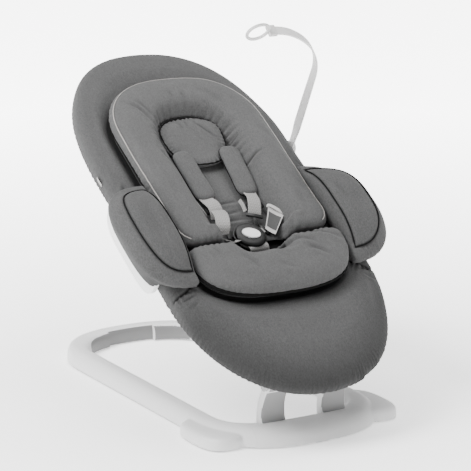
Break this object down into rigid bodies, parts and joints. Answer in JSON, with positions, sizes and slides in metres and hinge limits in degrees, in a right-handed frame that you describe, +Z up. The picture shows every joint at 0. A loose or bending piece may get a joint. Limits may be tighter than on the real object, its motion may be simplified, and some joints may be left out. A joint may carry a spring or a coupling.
{
  "type": "baby lounger",
  "caption": "Reclining padded baby seat with harness, side bolsters, removable newborn insert and a swinging toy bar, on a sprung cradle over a white floor loop.",
  "frame": {"origin": "on the floor, in the middle of the lounger's outer sizes", "axes": "+Z up, the foot end faces -Y and the head end +Y, X across; the toy bar's hub is on +X"},
  "size_m": [0.496, 0.7434, 0.6725],
  "materials": {
    "white_plastic": "satin white",
    "rubber": "matt dark grey",
    "steel": "plain",
    "dark_plastic": "matt black",
    "grey_plastic": "matt light grey",
    "cover_fabric": "woven mid grey",
    "insert_fabric": "woven mid grey",
    "webbing": "woven light grey web"
  },
  "bodies": {
    "base": {"front_bar": "white_plastic", "floor_rail_left": "white_plastic", "floor_rail_right": "white_plastic", "rear_connector": "white_plastic", "rubber_foot_front_left": "rubber", "rubber_foot_front_right": "rubber", "rubber_foot_rear_left": "rubber", "rubber_foot_rear_right": "rubber", "riser_left": "white_plastic", "riser_right": "white_plastic", "riser_screw_left_1": "steel", "riser_screw_left_2": "steel", "riser_screw_right_1": "steel", "riser_screw_right_2": "steel"},
    "cradle": {"cradle_frame": "white_plastic", "bounce_axle": "steel", "bounce_axle_cap_left": "dark_plastic", "bounce_axle_cap_right": "dark_plastic", "bounce_spring_left": "steel", "bounce_spring_right": "steel", "recline_axle": "steel", "recline_axle_cap_left": "dark_plastic", "recline_axle_cap_right": "dark_plastic"},
    "seat": {"seat_rim_tube": "steel", "seat_pan": "dark_plastic", "recline_bracket_left": "dark_plastic", "recline_bracket_right": "dark_plastic", "latch_housing": "dark_plastic", "latch_spring": "steel", "lever_hinge_left": "dark_plastic", "lever_hinge_right": "dark_plastic", "lever_pin": "steel", "seat_cover": "cover_fabric", "side_cheek_left": "white_plastic", "side_cheek_right": "white_plastic", "bolster_left": "cover_fabric", "bolster_right": "cover_fabric", "insert_upper": "insert_fabric", "insert_lower": "insert_fabric", "head_pad": "insert_fabric", "shoulder_strap_left": "webbing", "shoulder_strap_right": "webbing", "strap_adjuster_left": "dark_plastic", "strap_adjuster_right": "dark_plastic", "hip_strap_left": "webbing", "hip_strap_right": "webbing", "crotch_strap": "webbing", "buckle_body": "dark_plastic", "buckle_tongue_left": "dark_plastic", "buckle_tongue_right": "dark_plastic", "toy_bar_socket": "grey_plastic"},
    "latch": {"latch_bolt": "steel"},
    "lever": {"recline_lever": "white_plastic"},
    "button": {"buckle_button": "white_plastic"},
    "pad_left": {"shoulder_pad_left": "insert_fabric"},
    "pad_right": {"shoulder_pad_right": "insert_fabric"},
    "toy_bar": {"toy_bar_hub": "grey_plastic", "toy_bar_pin": "steel", "toy_bar_strip": "grey_plastic", "toy_ring": "grey_plastic"}
  },
  "joints": [
    {"name": "bounce", "type": "hinge", "parent": "base", "child": "cradle", "pos_m": [0, -0.29103, 0.09877], "axis": [1, 0, 0], "range_deg": [-4, 4], "stiffness_Nm_per_rad": 400, "springref_deg": 3.07},
    {"name": "recline", "type": "hinge", "parent": "cradle", "child": "seat", "pos_m": [0, -0.04324, 0.27198], "axis": [1, 0, 0], "range_deg": [-18, 0]},
    {"name": "recline_lever_squeeze", "type": "hinge", "parent": "seat", "child": "lever", "pos_m": [0, 0.20739, 0.44817], "axis": [1, 0, 0], "range_deg": [0, 9], "stiffness_Nm_per_rad": 1, "springref_deg": -2.86},
    {"name": "latch_slide", "type": "slide", "parent": "seat", "child": "latch", "axis": [0, 0.8453, 0.5344], "range_m": [0, 0.00236]},
    {"name": "toy_bar_swing", "type": "hinge", "parent": "seat", "child": "toy_bar", "pos_m": [0.2285, 0.13382, 0.38864], "axis": [1, 0, 0], "range_deg": [-70, 30]},
    {"name": "buckle_button_press", "type": "slide", "parent": "seat", "child": "button", "axis": [0, 0.5344, -0.8453], "range_m": [0, 0.002], "stiffness_N_per_m": 400, "springref_m": -0.0002},
    {"name": "shoulder_pad_left_slide", "type": "slide", "parent": "seat", "child": "pad_left", "axis": [-0.0521, 0.7943, 0.6053], "range_m": [-0.014, 0.008]},
    {"name": "shoulder_pad_right_slide", "type": "slide", "parent": "seat", "child": "pad_right", "axis": [0.0521, 0.7943, 0.6053], "range_m": [-0.014, 0.008]}
  ],
  "couplings": [
    {"joint": "recline_lever_squeeze", "follows": "latch_slide", "rad_per_m": 66.667}
  ]
}
